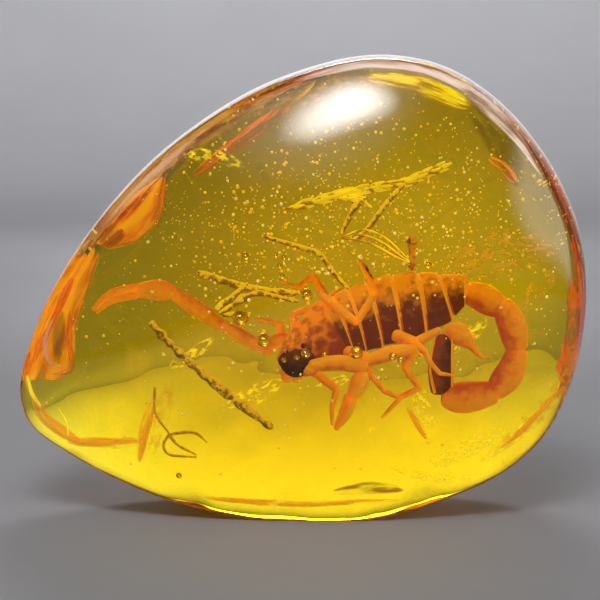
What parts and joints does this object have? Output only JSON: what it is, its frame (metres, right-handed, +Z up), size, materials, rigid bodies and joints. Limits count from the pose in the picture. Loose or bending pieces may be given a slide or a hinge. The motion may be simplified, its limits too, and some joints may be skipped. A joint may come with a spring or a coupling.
{
  "type": "scorpion sealed in a teardrop-shaped piece of amber-coloured resin",
  "caption": "Polished see-through resin piece with a teardrop outline and a ground flat on its lower edge, with a scorpion, plant debris and bubbles sealed inside.",
  "frame": {"origin": "middle of the piece's box, on the ground flat that it stands on", "axes": "+Z up, +X from the tip towards the round end, -Y the domed front, +Y the rounded back"},
  "size_m": [0.0699, 0.029, 0.0561],
  "materials": {
    "resin": "clear yellow-amber resin, polished all round"
  },
  "bodies": {
    "root": {"resin_block": "resin"}
  },
  "joints": []
}
